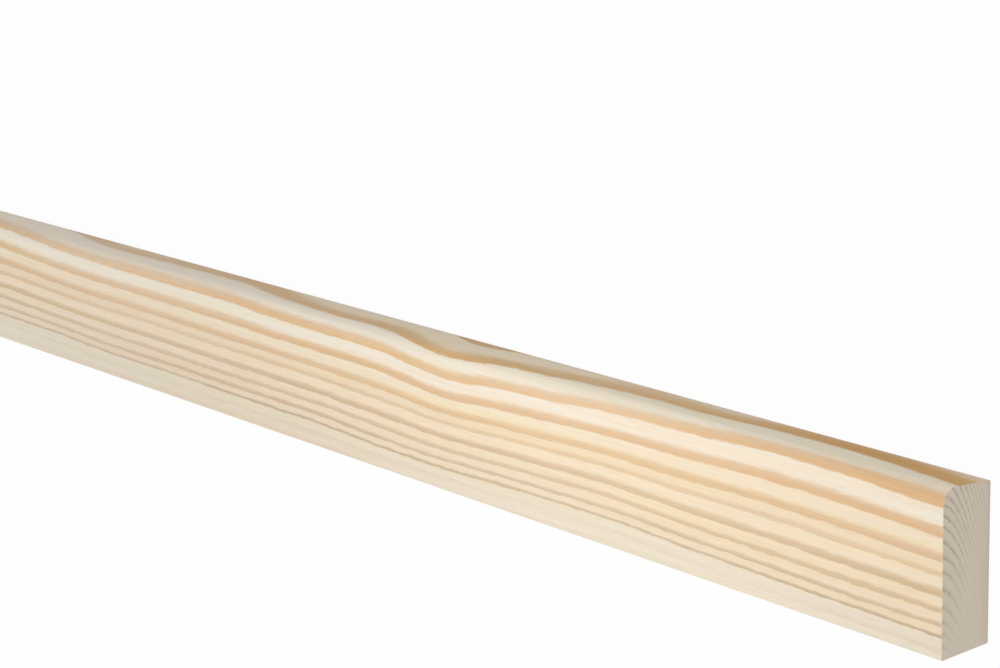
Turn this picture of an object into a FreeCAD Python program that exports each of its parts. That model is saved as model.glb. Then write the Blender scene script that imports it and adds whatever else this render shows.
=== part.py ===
"""Pine trim strip: one planed length of softwood with a pencil-round along one long edge.

The strip lies on its flat back. X runs along it, Z points out of the show face, and the
rounded edge is on the -Y side. The origin is midway along the strip, under the middle of
its width, on the plane of the back. Sizes are in millimetres and degrees.
"""

import FreeCAD, Part
import math
import os

LENGTH = 2100.0  # one stock length, sawn square at both ends
WIDTH = 45.0  # across the show face, from the square edge to the crest of the rounded one
THICKNESS = 18.0  # from the back to the show face
PENCIL_ROUND = 4.5  # radius where the show face turns into the rounded edge
EDGE_LEAN = 6.5  # degrees by which the rounded edge leans in towards the back
EASED_ARRIS = 0.4  # radius of the three other long arrises, as planing leaves them


def section():
    """The section before its arrises are rounded: three square sides and a leaning one.

    The leaning side touches the pencil-round below its crest, so carried on to the show
    face it stands a little outside the width.
    """
    lean = math.radians(EDGE_LEAN)
    past_crest = PENCIL_ROUND * ((1 + math.sin(lean)) / math.cos(lean) - 1)
    show_side = -WIDTH / 2 - past_crest
    back_side = show_side + THICKNESS * math.tan(lean)
    corners = [
        FreeCAD.Vector(-LENGTH / 2, back_side, 0),
        FreeCAD.Vector(-LENGTH / 2, WIDTH / 2, 0),
        FreeCAD.Vector(-LENGTH / 2, WIDTH / 2, THICKNESS),
        FreeCAD.Vector(-LENGTH / 2, show_side, THICKNESS),
    ]
    return Part.Face(Part.makePolygon(corners + corners[:1]))


def long_arrises(solid):
    """The edges that run the whole length: the one to be pencil-rounded, and the others."""
    along = [e for e in solid.Edges if math.isclose(e.BoundBox.XLength, LENGTH)]
    to_round = [e for e in along if e.CenterOfMass.y < 0 and e.CenterOfMass.z > THICKNESS / 2]
    return to_round, [e for e in along if not any(e.isSame(r) for r in to_round)]


def trim_strip():
    """The section carried along X, with three arrises eased and the fourth rounded."""
    solid = section().extrude(FreeCAD.Vector(LENGTH, 0, 0))
    _, to_ease = long_arrises(solid)
    solid = solid.makeFillet(EASED_ARRIS, to_ease)
    to_round, _ = long_arrises(solid)
    return solid.makeFillet(PENCIL_ROUND, to_round)


os.makedirs("parts", exist_ok=True)
trim_strip().exportStep("parts/trim_strip.step")
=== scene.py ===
"""A planed pine trim strip with one rounded long edge, lying on its back on a pale studio floor."""

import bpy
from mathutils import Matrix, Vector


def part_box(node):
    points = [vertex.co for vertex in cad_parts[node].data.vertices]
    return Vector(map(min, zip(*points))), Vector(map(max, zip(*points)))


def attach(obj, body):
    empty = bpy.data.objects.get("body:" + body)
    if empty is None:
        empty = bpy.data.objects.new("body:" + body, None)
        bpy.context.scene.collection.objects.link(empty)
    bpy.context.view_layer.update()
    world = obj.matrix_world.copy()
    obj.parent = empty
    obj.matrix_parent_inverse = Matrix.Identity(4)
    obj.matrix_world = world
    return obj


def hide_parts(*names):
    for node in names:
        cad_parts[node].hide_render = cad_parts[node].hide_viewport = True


bl_info = {
    "name": "Pine Trim Strip",
    "version": (1, 0, 0),
    "blender": (4, 5, 0),
    "location": "3D View > Sidebar > Trim Strip",
    "description": "Builds a planed pine trim strip on its CAD solid, with the stage it stands on",
    "category": "Add Mesh",
}

import math

import bpy
import numpy as np
from bpy.props import FloatProperty, FloatVectorProperty, PointerProperty
from mathutils import Matrix

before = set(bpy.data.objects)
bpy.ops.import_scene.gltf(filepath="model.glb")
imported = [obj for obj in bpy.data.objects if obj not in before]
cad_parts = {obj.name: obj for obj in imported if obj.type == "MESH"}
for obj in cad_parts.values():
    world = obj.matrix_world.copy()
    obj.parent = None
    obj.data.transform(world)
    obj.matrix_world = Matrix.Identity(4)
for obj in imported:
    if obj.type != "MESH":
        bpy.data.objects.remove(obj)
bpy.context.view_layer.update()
STRIP_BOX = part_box("trim_strip")
LENGTH, WIDTH, THICKNESS = (float(high - low) for low, high in zip(*STRIP_BOX))
NEAR_END = -LENGTH / 2
MM = 0.001
TINY = 1e-6  # far below any size on the strip, in metres

# How the grain runs along the strip. A row is a place along it, and holds:
# - its distance from the near end, in millimetres,
# - how far the growth rings have climbed there towards the rounded edge, in millimetres,
# - how far they bow outwards close to that edge or, where it is negative, inwards, in millimetres,
# - how many millimetres of growth a millimetre of depth below the show face is worth,
# - how dark the late wood is, as a share of its full darkness.
GRAIN = (
    (0, 0.0, 0.0, 0.8, 1.04),
    (35, 0.2, 1.5, 0.65, 0.98),
    (60, 0.6, 1.4, 0.65, 0.95),
    (90, 1.2, -0.5, 0.68, 0.88),
    (120, 2.3, -2.4, 0.57, 0.84),
    (150, 2.0, -4.2, 0.57, 0.88),
    (172, 1.5, -4.8, 0.64, 0.94),
    (195, 0.9, -6.6, 0.7, 0.98),
    (225, 0.9, -2.7, 0.63, 0.98),
    (262, 2.0, -3.2, 0.74, 1.02),
    (285, 2.0, -2.6, 0.62, 1.02),
    (310, 2.0, -1.8, 0.48, 0.96),
    (350, 2.3, -1.7, 0.5, 0.86),
    (400, 2.4, -1.3, 0.62, 0.82),
    (430, 3.1, -1.0, 0.5, 0.86),
    (460, 3.3, 0.6, 0.48, 0.94),
    (540, 3.8, -0.8, 0.5, 0.98),
    (640, 4.2, 1.2, 0.7, 0.9),
    (760, 4.0, -2.0, 0.6, 0.85),
    (860, 4.4, -0.4, 0.5, 0.96),
    (980, 4.7, 1.8, 0.7, 1.0),
    (1090, 4.2, -1.0, 0.8, 0.9),
    (1210, 4.4, -3.4, 0.6, 0.84),
    (1300, 4.9, -1.5, 0.5, 0.92),
    (1440, 5.3, 0.8, 0.6, 1.0),
    (1580, 5.0, -1.2, 0.75, 0.88),
    (1700, 4.5, -3.0, 0.6, 0.94),
    (1820, 5.0, -0.6, 0.45, 1.0),
    (1960, 5.6, 1.4, 0.6, 0.9),
    (2100, 5.8, 0.2, 0.7, 0.96),
)

# Places across the growth rings are in millimetres. As the grain climbs and bows, they go from -6
# to 0 where the show face meets the square edge, and from 40 to 55 at the crest of the rounded
# edge. The range from -15 to 75 holds all of the planed faces. These are where each year's late
# wood starts, on the planed faces and, for the finer rings that a saw cut brings out, on the ends.
YEARS = (
    *(-15, -11.6, -8.2, -4.9, -1.7, 2.2, 6.1, 8.9, 12.6),
    *(16.8, 22.2, 26.1, 32.3, 39.9, 48.9, 59.2, 66, 75),
)
END_YEARS = (
    *(-15, -11, -7, -3.5, 0, 3.5, 7, 10, 13.8, 18.5, 23.2, 27.3, 31),
    *(35, 38, 41, 43.4, 46.8, 50.3, 54.2, 57.6, 61, 65, 69, 75),
)

# How dark the late wood is: on the planed faces, from its sharp start to the end of its feathered
# side, and on the sawn ends, through a whole year.
LATE_PROFILE = ((0, 0), (0.05, 0.7), (0.14, 1), (0.5, 0.9), (0.68, 0.68), (0.84, 0.22), (1, 0))
END_PROFILE = ((0, 0.3), (0.06, 1), (0.16, 0.9), (0.36, 0.15), (0.6, 0), (0.93, 0), (1, 0.3))

# How dark each ring's late wood is. The rings nearest the square edge are nearly plain, and two
# near the middle of the show face are weaker than the rest.
LATE_STRENGTH = (
    *((-15, 0.12), (5.3, 0.15), (6.1, 1), (8.5, 1), (9.3, 0.85), (16.4, 0.85), (17, 0.97)),
    *((21.5, 0.95), (22.5, 0.6), (25.6, 0.6), (26.4, 0.75), (31.5, 0.75), (32.6, 0.95), (75, 1)),
)

# The colours of early and late wood across the rings: greyer by the square edge and warmer over
# the show face. Over the rounded edge, from 47 on, the early wood is darker: partly its own colour,
# partly painted shade where the round turns away from the light. On the rounded edge the late wood
# is golden.
EARLY_COLOURS_AND_SHADE = (
    *((-15, "ECE1CF"), (5, "ECE1CF"), (8, "F0DDC5"), (14, "F2DFC7"), (21, "F5E3C8"), (25, "F2DEC3")),
    *((31, "F6E6CC"), (37, "F7EDDD"), (47, "F4EADB"), (53, "EFE1CC"), (75, "EFE1CC")),
)
LATE_COLOURS = (
    *((-15, "D2B796"), (7, "C8B196"), (11, "D1B89D"), (18, "D5BA99"), (27, "DAB48A"), (34, "E1BC92")),
    *((42, "E2BA89"), (49, "C99340"), (57, "DCAE5C"), (59.4, "C48C3A"), (75, "D09A4A")),
)

# How bright the wood stays under the short fibre ends that the planer leaves, by the noise that
# draws them. The rare darkest ones stand for resin canals.
FLICK_TONES = ((0, 1), (0.28, 1), (0.5, 0.985), (0.66, 0.965), (0.72, 0.9), (1, 0.88))

# Drifts of pinker wood, then plain, then yellower.
DRIFT_TINTS = ((0, "FFF8F2"), (0.35, "FFFAF4"), (0.5, "FFFFFF"), (0.65, "FFFEF5"), (1, "FFFDF2"))

# The patterns of noise in the wood. Fibres in pine run dead along the stem, so each pattern of the
# planed faces is drawn out along the strip. Single fibres, some 0.04 mm wide, are too fine to show,
# so their streaks and flicks are drawn as coarse as they need to show. A row holds a pattern's size
# along the strip, across its width and through its thickness, in millimetres, and the noise's
# detail and roughness.
NOISES = {
    "wander": (50, 6, 6, 4, 0.6),
    "ripple": (6, 1.2, 1.2, 4, 0.65),
    "fibre": (40, 0.5, 0.5, 3, 0.6),
    "fade": (120, 4, 4, 2, 0.5),
    "flick": (7, 0.3, 0.3, 1, 0.5),
    "drift": (200, 5, 5, 2, 0.5),
    "saw": (1000, 9, 0.7, 2, 0.5),
}
NOISE_SPAN = (0.3, 0.7)  # where most of a noise's values lie

# The colour inputs and output of a Mix node, whose names its other sockets share.
COLOUR_A, COLOUR_B, COLOUR_OUT = 6, 7, 2


def linear(hex_colour):
    """A colour written as sRGB hex, as the linear RGBA that the nodes work in."""
    srgb = np.array([int(hex_colour[i : i + 2], 16) for i in (0, 2, 4)]) / 255
    return (*np.where(srgb <= 0.04045, srgb / 12.92, ((srgb + 0.055) / 1.055) ** 2.4).tolist(), 1.0)


def grey(level):
    """A grey of that linear level."""
    return (level, level, level, 1.0)


def ring_place(distance):
    """A place across the growth rings, as a share of the whole range that curves and ramps cover."""
    return (distance - YEARS[0]) / (YEARS[-1] - YEARS[0])


def add(tree, kind, inputs=(), stops=(), **settings):
    """Adds one node, with its inputs in order or as a dict of some of them by name or number.

    An input is a value, a socket to join to, or a node, which is joined by its first output. Stops
    are the (place, value) pairs of a colour ramp, or of a curve of straight lines, from place 0 to
    place 1. The settings are attributes of the node.
    """
    made = tree.nodes.new(kind)
    for name, value in settings.items():
        setattr(made, name, value)
    for name, value in inputs.items() if isinstance(inputs, dict) else enumerate(inputs):
        if isinstance(value, bpy.types.Node):
            value = value.outputs[0]
        if isinstance(value, bpy.types.NodeSocket):
            tree.links.new(value, made.inputs[name])
        else:
            made.inputs[name].default_value = value
    if stops and hasattr(made, "color_ramp"):
        elements = made.color_ramp.elements
        elements[0].color, elements[-1].color = stops[0][1], stops[-1][1]
        for at, value in stops[1:-1]:
            elements.new(at).color = value
    elif stops:
        points = made.mapping.curves[0].points
        points[0].location, points[-1].location = stops[0], stops[-1]
        for at, value in stops[1:-1]:
            points.new(at, value)
        for point in points:
            point.handle_type = "VECTOR"
        made.mapping.update()
    return made


class StripShape(bpy.types.PropertyGroup):
    """Sizes of the strip that its box doesn't give."""

    pencil_round: FloatProperty(
        name="Pencil round",
        description="Radius between the show face and the rounded edge",
        default=4.5 * MM,
        unit="LENGTH",
    )
    edge_lean: FloatProperty(
        name="Edge lean",
        description="Angle by which the rounded edge leans in towards the back",
        default=math.radians(6.5),
        subtype="ANGLE",
    )
    eased_arris: FloatProperty(
        name="Eased arris",
        description="Radius of the other three long arrises",
        default=0.4 * MM,
        unit="LENGTH",
    )
    saw_arris: FloatProperty(
        name="Sawn arris",
        description="Width of the narrow broken corner round each sawn end",
        default=0.12 * MM,
        unit="LENGTH",
    )
    row_spacing: FloatProperty(
        name="Row spacing",
        description="Distance along the strip between rows of the mesh",
        default=6 * MM,
        unit="LENGTH",
    )


class PineFinish(bpy.types.PropertyGroup):
    """How dull the pine is, and the colours of its sawn ends."""

    planed_roughness: FloatProperty(
        name="Planed roughness",
        description="Roughness of the planed faces",
        default=0.6,
        min=0,
        max=1,
    )
    sawn_roughness: FloatProperty(
        name="Sawn roughness",
        description="Roughness of the sawn ends",
        default=0.85,
        min=0,
        max=1,
    )
    sawn: FloatVectorProperty(
        name="Sawn end",
        description="Colour of the sawn ends",
        default=linear("EBDECC"),
        size=4,
        subtype="COLOR",
    )
    sawn_line: FloatVectorProperty(
        name="Sawn ring line",
        description="Colour of the ring lines on the sawn ends",
        default=linear("C9BBA9"),
        size=4,
        subtype="COLOR",
    )


class StudioStage(bpy.types.PropertyGroup):
    """The floor, the light and the camera."""

    floor_size: FloatProperty(
        name="Floor size",
        description="Side of the square floor",
        default=60.0,
        unit="LENGTH",
    )
    floor_white: FloatProperty(
        name="Floor white",
        description="How much of what is seen of the floor is plain white, and not shaded paint",
        default=0.96,
        min=0,
        max=1,
    )
    key_level: FloatProperty(
        name="Key level",
        description="Light of the overhead key on a level face, where 1 shows a colour as written",
        default=0.41,
        min=0,
    )
    key_spread: FloatProperty(
        name="Key spread",
        description="Angle that the overhead key fills as seen from the strip",
        default=math.radians(50),
        subtype="ANGLE",
    )
    fill_level: FloatProperty(
        name="Fill level",
        description="Light that comes from all round",
        default=0.46,
        min=0,
    )
    near_level: FloatProperty(
        name="Near-end level",
        description="Power of the soft spotlight on the near end",
        default=12.0,
        unit="POWER",
    )
    near_beam: FloatProperty(
        name="Near-end beam",
        description="Angle of the spotlight's beam",
        default=math.radians(19),
        subtype="ANGLE",
    )
    azimuth: FloatProperty(
        name="Azimuth",
        description="Side that the camera stands on",
        default=math.radians(-71.43),
        subtype="ANGLE",
    )
    elevation: FloatProperty(
        name="Elevation",
        description="Height of the camera above the horizon",
        default=math.radians(38.228),
        subtype="ANGLE",
    )
    roll: FloatProperty(
        name="Roll",
        description="Turn of the camera about its own line of sight",
        default=math.radians(103.565),
        subtype="ANGLE",
    )
    stand: FloatVectorProperty(
        name="Stand",
        description="Where the camera is, from the near end's corner of show face and square edge",
        default=(-397.1 * MM, -244.84 * MM, 470.18 * MM),
        size=3,
        subtype="TRANSLATION",
    )
    lens: FloatProperty(
        name="Lens",
        description="Focal length of the camera, on a sensor 36 mm wide",
        default=93.19,
        min=1,
    )


def corner(centre, radius, start, stop, pieces):
    """An arc as (y, z) points: the centre plus the radius turned from start to stop in equal steps."""
    turn = np.linspace(start, stop, pieces + 1)
    return np.column_stack([centre[0] + radius * np.cos(turn), centre[1] + radius * np.sin(turn)])


def outline(shape):
    """The section's outline as (y, z) points, counter-clockwise seen from +X.

    It starts under the square edge. Four arcs are joined by straight runs. The rounded edge's side
    leans by the angle from the upright and touches its arc below the crest, so the side meets the
    back nearer the middle than the crest does. Each run has a point close to either end, which
    keeps the flats flat.
    """
    lean, big, small = shape.edge_lean, shape.pencil_round, shape.eased_arris
    crest = WIDTH / 2
    show_side = -crest - big * ((1 + math.sin(lean)) / math.cos(lean) - 1)
    back_side = show_side + THICKNESS * math.tan(lean)
    back_centre = back_side + small * (1 - math.sin(lean)) / math.cos(lean)
    arcs = [
        corner((crest - small, small), small, -math.pi / 2, 0, pieces=5),
        corner((crest - small, THICKNESS - small), small, 0, math.pi / 2, pieces=5),
        corner((-crest + big, THICKNESS - big), big, math.pi / 2, math.pi + lean, pieces=18),
        corner((back_centre, small), small, math.pi + lean, 1.5 * math.pi, pieces=5),
    ]
    run_pieces = (12, 30, 10, 20)  # the square edge, the show face, the rounded edge and the back
    close = 0.35 * MM
    runs = []
    for before, after, pieces in zip(arcs, arcs[1:] + arcs[:1], run_pieces):
        run = after[0] - before[-1]
        step_in = close / np.linalg.norm(run)
        along = np.concatenate([[step_in], np.linspace(0, 1, pieces + 1)[1:-1], [1 - step_in]])
        runs.append(before[-1] + along[:, None] * run)
    return np.concatenate([part for pair in zip(arcs, runs) for part in pair])


def through(knots, values, at):
    """A smooth curve through the knots.

    Between two knots it is a cubic, and its slope at each knot is that of the values around it.
    """
    slopes = np.gradient(values, knots)
    i = np.clip(np.searchsorted(knots, at) - 1, 0, len(knots) - 2)
    gap = knots[i + 1] - knots[i]
    t = (at - knots[i]) / gap
    return (
        values[i] * (1 + 2 * t) * (1 - t) ** 2
        + slopes[i] * gap * t * (1 - t) ** 2
        + values[i + 1] * t**2 * (3 - 2 * t)
        + slopes[i + 1] * gap * t**2 * (t - 1)
    )


def growth_across(x, y, z, on_end):
    """How far across the growth rings each point lies, in millimetres.

    On the planed faces it is the distance from the square edge, less the climb of the grain, less
    its bow times the 1.8th power of that distance over 42 mm, plus its slant times the depth below
    the show face. On the sawn ends the bow is left out and the rings are parabolas, with their tips
    2.11 mm above the show face: growth gains a tenth of the square of the depth below the tips,
    less what that is at the show face.
    """
    along, rise, bow, slant, _ = np.array(GRAIN, float).T
    s = np.clip((x - NEAR_END) / MM, 0, LENGTH / MM)
    h = (WIDTH / 2 - y) / MM
    depth = (THICKNESS - z) / MM
    unbowed = h - through(along, rise, s)
    bowed_by = through(along, bow, s) * (np.clip(h, 0, None) / 42) ** 1.8
    planed = unbowed - bowed_by + through(along, slant, s) * depth
    tips = 2.11
    sawn = unbowed + 0.1 * ((depth + tips) ** 2 - tips**2)
    return np.where(on_end, sawn, planed)


def laid_flat(x, yz, rim):
    """The texture coordinates of each face's corners, with the surface laid out flat.

    Each half of the strip is unrolled into a band as long as the square is wide, one above the
    other. A point's distance round the outline gives its height in the band. The two ends lie side
    by side in the band that is left at the top.
    """
    margin, band, top = 0.006, 0.448, 0.082
    rows, cols = yz.shape[:2]

    def on_top(points, far):
        """A place on an end, by its share of the width and of the thickness."""
        u = margin + 0.5 * far + (0.5 - 2 * margin) * (points[..., 0] / WIDTH + 0.5)
        return np.stack([u, 1 - margin - top * (points[..., 1] / THICKNESS)], -1)

    steps = np.linalg.norm(np.diff(np.vstack([rim, rim[:1]]), axis=0), axis=1)
    around = np.concatenate([[0], np.cumsum(steps)]) / steps.sum()
    row = np.repeat(np.arange(rows - 1), cols)
    col = np.tile(np.arange(cols), rows - 1)
    corner_row = np.stack([row, row, row + 1, row + 1], 1)
    corner_col = np.stack([col, col + 1, col + 1, col], 1)
    middle = (x[row] + x[row + 1]) / 2
    far = (middle > 0)[:, None]
    u = margin + (1 - 2 * margin) * (np.abs(x[corner_row]) / (LENGTH / 2))
    v = margin + band * around[corner_col] + far * (band + margin)
    on_end = (np.abs(middle) > LENGTH / 2 - TINY)[:, None, None]
    sides = np.where(on_end, on_top(yz[corner_row, corner_col % cols], far), np.stack([u, v], -1))
    return np.concatenate([sides.reshape(-1, 2), on_top(yz[0, ::-1], 0), on_top(yz[-1], 1)])


def strip_mesh(shape):
    """The strip as one closed skin: the outline carried along X, and at each end shrunk in rings.

    Row positions are evenly spaced along the strip and crowd together at the ends. The last full
    row stands back by the sawn arris, and the first ring of the end is the outline moved in by as
    much. Each further ring moves every point of the outline on towards a line along the middle of
    the end, and one flat face fills the last ring.
    """
    rim = outline(shape)
    reach = (WIDTH - THICKNESS) / 2
    heart = np.column_stack([np.clip(rim[:, 0], -reach, reach), np.full(len(rim), THICKNESS / 2)])
    first = shape.saw_arris / np.linalg.norm(rim - heart, axis=1)[:, None]
    shrink = np.concatenate([[0], np.linspace(0.08, 0.93, 11)])
    rings = [rim + (heart - rim) * np.clip(first + share, 0, 1) for share in shrink]

    crowded = np.array([3 * MM, 1.5 * MM, 0.5 * MM, shape.saw_arris])
    even = np.linspace(0, LENGTH / 2, int(LENGTH / 2 / shape.row_spacing) + 1)[:-1]
    outwards = np.concatenate([even, LENGTH / 2 - crowded])
    stations = np.concatenate([-outwards[:0:-1], outwards])

    x = np.concatenate([np.full(len(rings), NEAR_END), stations, np.full(len(rings), -NEAR_END)])
    yz = np.concatenate([rings[::-1], np.repeat(rim[None], len(stations), 0), rings])
    rows, cols = yz.shape[:2]
    points = np.concatenate([np.repeat(x[:, None], cols, 1)[..., None], yz], 2)
    on_end = np.repeat((np.abs(x) > LENGTH / 2 - TINY)[:, None], cols, 1)
    growth = growth_across(points[..., 0], points[..., 1], points[..., 2], on_end)
    along, *_, dark = np.array(GRAIN, float).T
    darkness = np.repeat(through(along, dark, (x - NEAR_END) / MM), cols)

    grid = np.arange(rows * cols).reshape(rows, cols)
    onward = np.roll(grid, -1, 1)
    quads = np.stack([grid[:-1], onward[:-1], onward[1:], grid[1:]], -1).reshape(-1, 4)
    faces = quads.tolist() + [grid[0, ::-1].tolist(), grid[-1].tolist()]

    mesh = bpy.data.meshes.new("trim_strip_pine")
    mesh.from_pydata(points.reshape(-1, 3), [], faces)
    for name, values in (("growth", growth), ("late_darkness", darkness)):
        attribute = mesh.attributes.new(name, "FLOAT", "POINT")
        attribute.data.foreach_set("value", values.ravel().astype(np.float32))
    mesh.polygons.foreach_set("use_smooth", np.ones(len(faces), bool))
    mesh.set_sharp_from_angle(angle=math.radians(30))
    layer = mesh.uv_layers.new(name="OFBake")
    layer.data.foreach_set("uv", laid_flat(x, yz, rim).ravel().astype(np.float32))
    mesh.validate()
    return mesh


def through_year(tree, share, starts):
    """How far through its year each point is, from 0 to 1, for years with those starts.

    A curve turns the place across the rings into a count of years, and this is its fraction.
    """
    count = len(starts) - 1
    stops = [(ring_place(at), i / count) for i, at in enumerate(starts)]
    curve = add(tree, "ShaderNodeFloatCurve", {"Value": share}, stops)
    years = add(tree, "ShaderNodeMath", (curve, count), operation="MULTIPLY")
    return add(tree, "ShaderNodeMath", (years,), operation="FRACT")


def late_wood(tree, x, growth, share, noise):
    """How dark the late wood makes each point of the planed faces, where 1 is fully dark.

    Each year it starts sharply and feathers off. The inputs of a Map Range node are the value, the
    range that it comes from and the range that it goes to.
    """
    # The late wood with its feathered side takes up 44 % of a year close to the square edge and
    # 54 % further on. Beside the rounded edge and on it, it is up to half as wide again over the
    # last 50 mm to the near end.
    part = add(tree, "ShaderNodeMapRange", (growth, 6, 22, 0.44, 0.54))
    rounded = add(tree, "ShaderNodeMapRange", (growth, 38.5, 47, 0, 1))
    wider = add(tree, "ShaderNodeMapRange", (x, NEAR_END, NEAR_END + 50 * MM, 0.5, 0))
    wider = add(tree, "ShaderNodeMath", (rounded, wider, 1), operation="MULTIPLY_ADD")
    part = add(tree, "ShaderNodeMath", (part, wider), operation="MULTIPLY")
    year = through_year(tree, share, YEARS)
    through_late = add(tree, "ShaderNodeMath", (year, part), operation="DIVIDE")
    # Streaks of fibres carry the dark a little further or less far.
    ragged = add(tree, "ShaderNodeMapRange", (noise["fibre"], *NOISE_SPAN, 1.2, 0.85))
    through_late = add(tree, "ShaderNodeMath", (through_late, ragged), operation="MULTIPLY")
    stops = [(at, grey(level)) for at, level in LATE_PROFILE]
    late = add(tree, "ShaderNodeValToRGB", (through_late,), stops)

    # Its darkness depends on the ring, comes and goes along each ring, and depends on the place
    # along the strip. Beside the rounded edge and on it, it also pales by about a third between
    # 40 and 340 mm from the near end.
    stops = [(ring_place(at), grey(level)) for at, level in LATE_STRENGTH]
    strength = add(tree, "ShaderNodeValToRGB", (share,), stops)
    fade = add(tree, "ShaderNodeMapRange", (noise["fade"], *NOISE_SPAN, 0.85, 1.05))
    darkness = add(tree, "ShaderNodeAttribute", attribute_name="late_darkness").outputs["Fac"]
    paler = add(tree, "ShaderNodeMapRange", (x, NEAR_END + 40 * MM, NEAR_END + 340 * MM, 0, 0.36))
    paler = add(tree, "ShaderNodeMath", (rounded, paler), operation="MULTIPLY")
    kept = add(tree, "ShaderNodeMath", (1, paler), operation="SUBTRACT")
    for factor in (strength, fade, darkness, kept):
        late = add(tree, "ShaderNodeMath", (late, factor), operation="MULTIPLY")
    return late


def planed_colour(tree, x, growth, share, noise):
    """The planed faces: early and late wood, with fibre streaks, flicks and drifts of tint. The early
    wood is darker over the rounded edge, partly from painted shade.
    """
    woods_and_shade = []
    for colours in (EARLY_COLOURS_AND_SHADE, LATE_COLOURS):
        stops = [(ring_place(at), linear(colour)) for at, colour in colours]
        woods_and_shade.append(add(tree, "ShaderNodeValToRGB", (share,), stops))
    late = late_wood(tree, x, growth, share, noise)
    inputs = {"Factor": late, COLOUR_A: woods_and_shade[0], COLOUR_B: woods_and_shade[1]}
    wood = add(tree, "ShaderNodeMix", inputs, data_type="RGBA").outputs[COLOUR_OUT]
    streak = add(tree, "ShaderNodeMapRange", (noise["fibre"], *NOISE_SPAN, 0.94, 1.03))
    stops = [(at, grey(level)) for at, level in FLICK_TONES]
    flick = add(tree, "ShaderNodeValToRGB", (noise["flick"],), stops)
    stops = [(at, linear(colour)) for at, colour in DRIFT_TINTS]
    tint = add(tree, "ShaderNodeValToRGB", (noise["drift"],), stops)
    for tone in (streak, flick, tint):
        inputs = {"Factor": 1, COLOUR_A: wood, COLOUR_B: tone}
        toned = add(tree, "ShaderNodeMix", inputs, data_type="RGBA", blend_type="MULTIPLY")
        wood = toned.outputs[COLOUR_OUT]
    return wood


def sawn_colour(tree, place, share, saw, finish):
    """The sawn ends: thin ring lines, broken up by saw marks that run along the width.

    The lines are plainest towards the show face, and a little towards the rounded edge.
    """
    stops = [(at, grey(level)) for at, level in END_PROFILE]
    lines = add(tree, "ShaderNodeValToRGB", (through_year(tree, share, END_YEARS),), stops)
    dot = add(tree, "ShaderNodeVectorMath", (place, (0, -0.35, 1)), operation="DOT_PRODUCT")
    clear = add(tree, "ShaderNodeMapRange", (dot.outputs["Value"], 6 * MM, 17 * MM, 0.12, 1))
    broken = add(tree, "ShaderNodeMapRange", (saw, 0.35, 0.65, 0.45, 1.3))
    for factor in (clear, broken):
        lines = add(tree, "ShaderNodeMath", (lines, factor), operation="MULTIPLY")
    inputs = {"Factor": lines, COLOUR_A: tuple(finish.sawn), COLOUR_B: tuple(finish.sawn_line)}
    wood = add(tree, "ShaderNodeMix", inputs, data_type="RGBA").outputs[COLOUR_OUT]
    marks = add(tree, "ShaderNodeMapRange", (saw, *NOISE_SPAN, 0.96, 1))
    inputs = {"Factor": 1, COLOUR_A: wood, COLOUR_B: marks}
    marked = add(tree, "ShaderNodeMix", inputs, data_type="RGBA", blend_type="MULTIPLY")
    return marked.outputs[COLOUR_OUT]


def planed_scots_pine(finish):
    """Planed Scots pine, with a soft low sheen and dull, greyer sawn ends.

    Each year is pale cream early wood and a tan line of late wood, sharp on one side and feathered
    on the other, under long faint fibre streaks. The ends have thin curved ring lines.
    """
    material = bpy.data.materials.new("planed_scots_pine")
    material.use_nodes = True
    tree = material.node_tree
    tree.nodes.clear()

    place = add(tree, "ShaderNodeTexCoord").outputs["Object"]
    x = add(tree, "ShaderNodeSeparateXYZ", (place,)).outputs["X"]
    growth = add(tree, "ShaderNodeAttribute", attribute_name="growth").outputs["Fac"]
    noise = {}
    for name, (*size, detail, roughness) in NOISES.items():
        inputs = {"Vector": place, "Scale": [1 / (side * MM) for side in size]}
        scaled = add(tree, "ShaderNodeMapping", inputs)
        inputs = {"Vector": scaled, "Scale": 1, "Detail": detail, "Roughness": roughness}
        noise[name] = add(tree, "ShaderNodeTexNoise", inputs)

    # The rings wander and ripple by fractions of a millimetre.
    across = growth
    for name, swing in (("wander", 1.3), ("ripple", 1.5)):
        shift = add(tree, "ShaderNodeMath", (noise[name], swing, -swing / 2), operation="MULTIPLY_ADD")
        across = add(tree, "ShaderNodeMath", (across, shift), operation="ADD")
    share = add(tree, "ShaderNodeMapRange", (across, YEARS[0], YEARS[-1], 0, 1))

    planed = planed_colour(tree, x, growth, share, noise)
    sawn = sawn_colour(tree, place, share, noise["saw"], finish)
    from_middle = add(tree, "ShaderNodeMath", (x,), operation="ABSOLUTE")
    end_from = LENGTH / 2 - 0.05 * MM
    on_end = add(tree, "ShaderNodeMath", (from_middle, end_from), operation="GREATER_THAN")
    inputs = {"Factor": on_end, COLOUR_A: planed, COLOUR_B: sawn}
    colour = add(tree, "ShaderNodeMix", inputs, data_type="RGBA").outputs[COLOUR_OUT]
    inputs = {0: on_end, 2: finish.planed_roughness, 3: finish.sawn_roughness}
    roughness = add(tree, "ShaderNodeMix", inputs)

    # Relief of 0.03 mm at half strength, from the fibres or, on the ends, from the saw marks.
    relief = add(tree, "ShaderNodeMix", {0: on_end, 2: noise["fibre"], 3: noise["saw"]})
    bump = add(tree, "ShaderNodeBump", {"Strength": 0.5, "Distance": 0.03 * MM, "Height": relief})
    inputs = {"Base Color": colour, "Roughness": roughness, "Specular IOR Level": 0.2, "Normal": bump}
    shader = add(tree, "ShaderNodeBsdfPrincipled", inputs)
    add(tree, "ShaderNodeOutputMaterial", {"Surface": shader})
    return material


def backdrop_rays(tree):
    """1 for a ray that shows the backdrop, straight on or in a gloss or a glass, and 0 for others."""
    path = add(tree, "ShaderNodeLightPath")
    shown = path.outputs["Is Camera Ray"]
    for name in ("Is Glossy Ray", "Is Transmission Ray"):
        shown = add(tree, "ShaderNodeMath", (shown, path.outputs[name]), operation="ADD", use_clamp=True)
    return shown


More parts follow.
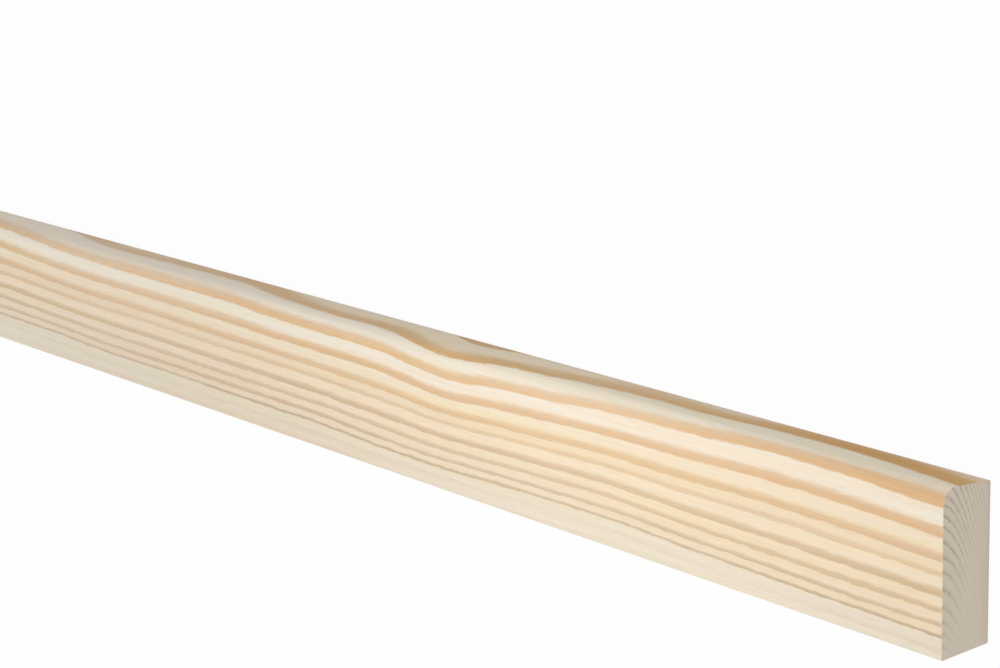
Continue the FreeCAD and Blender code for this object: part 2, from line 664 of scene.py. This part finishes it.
def pale_floor_paint(stage):
    """Painted studio floor: pale matt paint, seen almost as the white of the backdrop.

    What is left of the paint in it shows the strip's soft shadow.
    """
    paint = bpy.data.materials.new("pale_floor_paint")
    paint.use_nodes = True
    tree = paint.node_tree
    tree.nodes.clear()
    matt = add(tree, "ShaderNodeBsdfDiffuse", {"Color": linear("EDEDEC")})
    white = add(tree, "ShaderNodeEmission", {"Color": grey(1), "Strength": 1})
    inputs = (backdrop_rays(tree), stage.floor_white)
    share = add(tree, "ShaderNodeMath", inputs, operation="MULTIPLY")
    mixed = add(tree, "ShaderNodeMixShader", (share, matt, white))
    add(tree, "ShaderNodeOutputMaterial", {"Surface": mixed})
    return paint


def lay_floor(context, stage):
    """One level square, under the strip."""
    side = stage.floor_size / 2
    mesh = bpy.data.meshes.new("floor")
    corners = [(-side, -side, 0), (side, -side, 0), (side, side, 0), (-side, side, 0)]
    mesh.from_pydata(corners, [], [(0, 1, 2, 3)])
    mesh.materials.append(pale_floor_paint(stage))
    floor = bpy.data.objects.new("floor", mesh)
    context.collection.objects.link(floor)


def studio_world(stage):
    """An even fill from all round, which shows as the white backdrop."""
    world = bpy.data.worlds.new("studio")
    world.use_nodes = True
    tree = world.node_tree
    tree.nodes.clear()
    level = add(tree, "ShaderNodeMapRange", (backdrop_rays(tree), 0, 1, stage.fill_level, 1))
    sky = add(tree, "ShaderNodeBackground", {"Color": grey(1), "Strength": level})
    add(tree, "ShaderNodeOutputWorld", {"Surface": sky})
    return world


def hang_lamps(context, stage):
    """A wide overhead key, and a soft warm spotlight over the near end. Both point straight down."""
    key = bpy.data.lights.new("overhead_key", "SUN")
    key.energy = stage.key_level * math.pi
    key.angle = stage.key_spread
    near = bpy.data.lights.new("near_end_spot", "SPOT")
    near.color = (1.0, 0.93, 0.8)
    near.shadow_soft_size = 120 * MM
    near.spot_size, near.spot_blend = stage.near_beam, 1.0
    near.energy = stage.near_level
    above_middle, above_near_end = (0, 0, 3000 * MM), (NEAR_END + 120 * MM, 0, 1200 * MM)
    for lamp, place in ((key, above_middle), (near, above_near_end)):
        hung = bpy.data.objects.new(lamp.name, lamp)
        hung.location = place
        context.collection.objects.link(hung)


def stand_camera(context, stage):
    """The camera, at its stand from the near end's corner of show face and square edge.

    Azimuth and elevation give the way back from what it looks at. Up and right start level, and
    are turned about that line by the roll.
    """
    azimuth, elevation, roll = stage.azimuth, stage.elevation, stage.roll
    level = math.cos(elevation)
    back = np.array([math.sin(azimuth) * level, -math.cos(azimuth) * level, math.sin(elevation)])
    level_right = np.array([math.cos(azimuth), math.sin(azimuth), 0])
    level_up = np.cross(back, level_right)
    up = math.cos(roll) * level_up + math.sin(roll) * level_right
    right = np.cross(up, back)
    near_corner = np.array([NEAR_END, WIDTH / 2, THICKNESS])
    turn = np.eye(4)
    turn[:3] = np.column_stack([right, up, back, near_corner + np.array(stage.stand)])
    lens = bpy.data.cameras.new("camera")
    lens.sensor_width = 36
    lens.lens = stage.lens
    lens.clip_start, lens.clip_end = 0.01, 200
    camera = bpy.data.objects.new("camera", lens)
    camera.matrix_world = Matrix(turn.tolist())
    context.collection.objects.link(camera)
    context.scene.camera = camera


class TRIM_OT_strip(bpy.types.Operator):
    """Makes the pine strip over its CAD solid"""

    bl_idname = "trim_strip.strip"
    bl_label = "Make Trim Strip"

    def execute(self, context):
        mesh = strip_mesh(context.scene.strip_shape)
        mesh.materials.append(planed_scots_pine(context.scene.pine_finish))
        strip = bpy.data.objects.new("pine_strip", mesh)
        context.collection.objects.link(strip)
        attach(strip, "root")
        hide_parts("trim_strip")
        return {"FINISHED"}


class TRIM_OT_stage(bpy.types.Operator):
    """Lays the pale floor, hangs the soft lights and stands the camera"""

    bl_idname = "trim_strip.stage"
    bl_label = "Set Stage"

    def execute(self, context):
        stage = context.scene.studio_stage
        lay_floor(context, stage)
        context.scene.world = studio_world(stage)
        hang_lamps(context, stage)
        stand_camera(context, stage)
        context.scene.view_settings.view_transform = "Standard"
        return {"FINISHED"}


class TRIM_PT_panel(bpy.types.Panel):
    """Lists the strip's sizes and finish and the stage, with the button that makes each"""

    bl_idname = "TRIM_PT_panel"
    bl_label = "Trim Strip"
    bl_space_type = "VIEW_3D"
    bl_region_type = "UI"
    bl_category = "Trim Strip"

    def draw(self, context):
        scene = context.scene
        strip, stage = TRIM_OT_strip.bl_idname, TRIM_OT_stage.bl_idname
        for groups, button in (
            ((scene.strip_shape, scene.pine_finish), strip),
            ((scene.studio_stage,), stage),
        ):
            box = self.layout.box()
            for group in groups:
                for name in group.__annotations__:
                    box.prop(group, name)
            box.operator(button)


CLASSES = (StripShape, PineFinish, StudioStage, TRIM_OT_strip, TRIM_OT_stage, TRIM_PT_panel)


def register():
    for made in CLASSES:
        bpy.utils.register_class(made)
    bpy.types.Scene.strip_shape = PointerProperty(type=StripShape)
    bpy.types.Scene.pine_finish = PointerProperty(type=PineFinish)
    bpy.types.Scene.studio_stage = PointerProperty(type=StudioStage)


def unregister():
    del bpy.types.Scene.studio_stage, bpy.types.Scene.pine_finish, bpy.types.Scene.strip_shape
    for made in reversed(CLASSES):
        bpy.utils.unregister_class(made)


def main():
    register()
    bpy.ops.trim_strip.strip()
    bpy.ops.trim_strip.stage()


if __name__ == "__main__":
    main()
